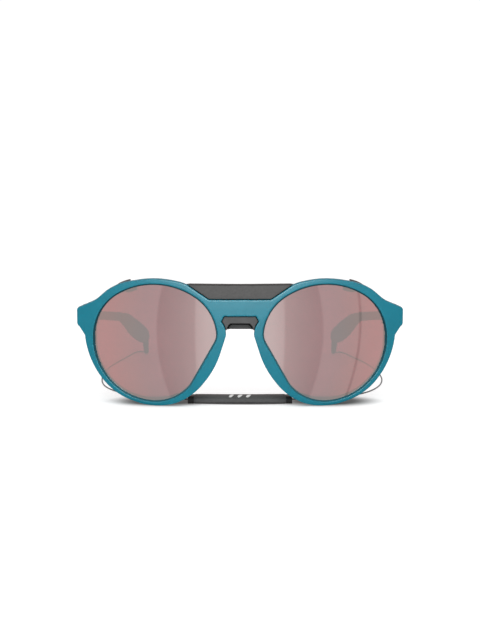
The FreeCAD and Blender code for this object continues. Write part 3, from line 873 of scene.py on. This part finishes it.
def studio_floor():
    """A white table that fades into the white background all round, with its painted shadows.

    Places are folded over both axes, so one painted shadow serves both rims. The back half, which would
    repeat the shadows, is kept clear of them.
    """
    bpy.ops.mesh.primitive_plane_add(size=FLOOR_SIZE)
    floor = bpy.context.object
    floor.name = "studio_floor"
    surface = Surface("studio_floor", FLOOR_TONE, 0.9)
    surface.fix("Specular IOR Level", 0.0)
    surface.fix("Emission Strength", FLOOR_GLOW)
    moved = surface.placed(surface.place, (SHADE_SHIFT, 0.0, 0.0), (1.0, 1.0, 1.0))
    folded = surface.vector("ABSOLUTE", moved)
    shades = []
    for x, y, half_width, half_depth, edge, darkest in FLOOR_SHADES:
        middle = (x * MM, -BRIDGE_FACE - y * MM, 0.0)
        size = (half_width * MM, half_depth * MM, 1.0)
        away = surface.vector("LENGTH", surface.placed(folded, middle, size), "Value")
        shades.append(surface.spread(away, darkest, 1.0, edge, 1.0, "SMOOTHSTEP"))
    behind = surface.spread(surface.part(surface.place, "Y"), 0.0, 1.0, SHADE_BACK, 0.0)
    tone = surface.maths("MAXIMUM", surface.maths("MINIMUM", *shades), behind)
    colour = surface.blend(tone, (0.0, 0.0, 0.0), FLOOR_TONE)
    surface.colour(colour)
    surface.join(colour, surface.shader.inputs["Emission Color"])
    away = surface.vector("LENGTH", surface.place, "Value")
    fade = surface.spread(away, 0.0, 1.0, FLOOR_REACH, 2.0 * FLOOR_REACH)
    clear = surface.nodes.new("ShaderNodeBsdfTransparent")
    mixed = surface.mix(fade, surface.shader.outputs["BSDF"], clear.outputs["BSDF"])
    surface.join(mixed, surface.output.inputs["Surface"])
    floor.data.materials.append(surface.material)
    floor.visible_glossy = False


# The light tent's tones, by the angle round from the front. It has two upright panel joints,
# and the outer one is furthest round at BOW_MIDDLE and comes inwards above and below it.
TENT = [
    (0.0, (0.90, 0.91, 0.90)),
    (12.0, (0.88, 0.89, 0.88)),
    (16.4, (0.78, 0.775, 0.77)),
    (17.4, (0.60, 0.595, 0.59)),
    (23.0, (0.52, 0.52, 0.52)),
    (31.4, (0.462, 0.442, 0.445)),
    (32.2, (0.59, 0.55, 0.555)),
    (38.0, (0.575, 0.545, 0.545)),
    (45.0, (0.625, 0.54, 0.525)),
    (52.0, (0.69, 0.53, 0.51)),
    (60.0, (0.70, 0.54, 0.52)),
]
TENT_END = 90.0
BOW = 0.005
BOW_MIDDLE = -5.0
BOW_MOST = 6.0
BOW_FADE = (19.0, 27.0)
# A dark seam, on the +X side only, which bows the same way.
SEAM = 46.8
SEAM_BOW = 0.0022
SEAM_MIDDLE = 2.0
SEAM_EDGES = (0.25, 0.8)
SEAM_TONE = 0.72
# The tent is dimmer well above and well below TENT_MIDDLE, past what the lenses mirror in front.
TENT_MIDDLE = -8.5
TENT_REACH = (25.0, 33.0)
TENT_DIM = 0.45
DIFFUSE_TONE = (0.62, 0.62, 0.62)
BACKGROUND_TONE = (1.05, 1.05, 1.05)


def tent():
    """A white tent whose panels meet at edges that the lenses mirror."""
    world = bpy.data.worlds.new("studio")
    bpy.context.scene.world = world
    world.use_nodes = True
    sky = Nodes(world.node_tree)
    background = sky.nodes["Background"]
    place = sky.nodes.new("ShaderNodeTexCoord").outputs["Generated"]
    split = sky.nodes.new("ShaderNodeSeparateXYZ")
    sky.join(place, split.inputs["Vector"])
    ahead = sky.maths("MULTIPLY", split.outputs["Y"], -1.0)
    turn = sky.maths("ARCTAN2", sky.maths("ABSOLUTE", split.outputs["X"]), ahead)
    degrees = sky.maths("MULTIPLY", turn, 180.0 / math.pi)
    rise = sky.maths("MULTIPLY", sky.maths("ARCSINE", split.outputs["Z"]), 180.0 / math.pi)

    bow = sky.maths("MULTIPLY", sky.square(sky.apart(rise, BOW_MIDDLE)), BOW)
    outer = sky.spread(degrees, 0.0, 1.0, *BOW_FADE)
    bowed = sky.maths("MULTIPLY", sky.maths("MINIMUM", bow, BOW_MOST), outer)
    ramp = sky.nodes.new("ShaderNodeValToRGB")
    sky.join(sky.maths("DIVIDE", sky.maths("ADD", degrees, bowed), TENT_END), ramp.inputs["Fac"])
    stops = ramp.color_ramp.elements
    for stop, (edge, tone) in zip(stops, (TENT[0], TENT[-1])):
        stop.position = edge / TENT_END
        stop.color = (*tone, 1.0)
    for edge, tone in TENT[1:-1]:
        stops.new(edge / TENT_END).color = (*tone, 1.0)

    seam_bow = sky.maths("MULTIPLY", sky.square(sky.maths("SUBTRACT", rise, SEAM_MIDDLE)), SEAM_BOW)
    seam = sky.maths("SUBTRACT", SEAM, seam_bow)
    off_seam = sky.spread(sky.apart(degrees, seam), 0.0, 1.0, *SEAM_EDGES)
    clear = sky.maths("MAXIMUM", off_seam, sky.maths("LESS_THAN", split.outputs["X"], 0.0))
    seam_level = sky.maths("ADD", SEAM_TONE, sky.maths("MULTIPLY", clear, 1.0 - SEAM_TONE))
    height_level = sky.spread(sky.apart(rise, TENT_MIDDLE), 1.0, TENT_DIM, *TENT_REACH)
    level = sky.maths("MULTIPLY", seam_level, height_level)

    path = sky.nodes.new("ShaderNodeLightPath").outputs
    mirrored = sky.blend(level, (0.0, 0.0, 0.0), ramp.outputs["Color"])
    lit = sky.blend(path["Is Diffuse Ray"], mirrored, DIFFUSE_TONE)
    sky.join(sky.blend(path["Is Camera Ray"], lit, BACKGROUND_TONE), background.inputs["Color"])
    background.inputs["Strength"].default_value = 1.0
    bpy.context.scene.view_settings.view_transform = "Standard"


# ---------------------------------------------------------------- the glasses

# Moulded pieces by body: node, material slot, voxel size in mm and smoothing passes.
FRONT_MOULDINGS = [
    ("bridge_shield", "shield_rubber", 0.20, 6),
    ("nose_saddle", "nose_saddle_plastic", 0.16, 5),
]
FRONT_SIDE_MOULDINGS = [
    ("nose_pad", "nose_pad_rubber", 0.20, 8),
    ("side_shield", "shield_rubber", 0.20, 4),
]
TEMPLE_MOULDINGS = [
    ("temple_arm", "frame_teal", 0.25, 8),
    ("ear_sock", "sock_rubber", 0.30, 6),
    ("leash_boot", "boot_rubber", 0.12, 5),
]
# CAD pieces that stay: node, material slot and bevel in mm.
DRESSED = [
    ("hinge_front", "hinge_steel", 0.08),
    ("hinge_temple", "hinge_steel", 0.08),
    ("hinge_screw", "screw_steel", 0.06),
    ("hinge_screws_front", "screw_steel", 0.06),
    ("hinge_screws_temple", "screw_steel", 0.06),
    ("temple_core", "core_steel", 0.0),
    ("leash_ferrule", "ferrule_plastic", 0.25),
]


def glasses():
    """Every visible piece of the glasses."""
    fillers = [groove_filler(word) for word, _ in SIDES]
    GLOSSY.objects.link(moulded("front_frame", "front", "frame_teal", 0.24, 8, fillers))
    for node, slot, voxel_mm, passes in FRONT_MOULDINGS:
        moulded(node, "front", slot, voxel_mm, passes)
    for word, side in SIDES:
        lens(word)
        for node, slot, voxel_mm, passes in FRONT_SIDE_MOULDINGS:
            moulded(f"{node}_{word}", "front", slot, voxel_mm, passes)
        shield_step(word, side)
        for node, slot, voxel_mm, passes in TEMPLE_MOULDINGS:
            moulded(f"{node}_{word}", f"temple_{word}", slot, voxel_mm, passes)
        for node, slot, bevel_mm in DRESSED:
            dress(f"{node}_{word}", slot, bevel_mm)
    leash_band()
    band_mark()
    leash_cord("left", CORD_LEFT_MM)
    leash_cord("right", CORD_RIGHT_MM)


add_camera()
studio_floor()
studio_lights()
tent()
glasses()
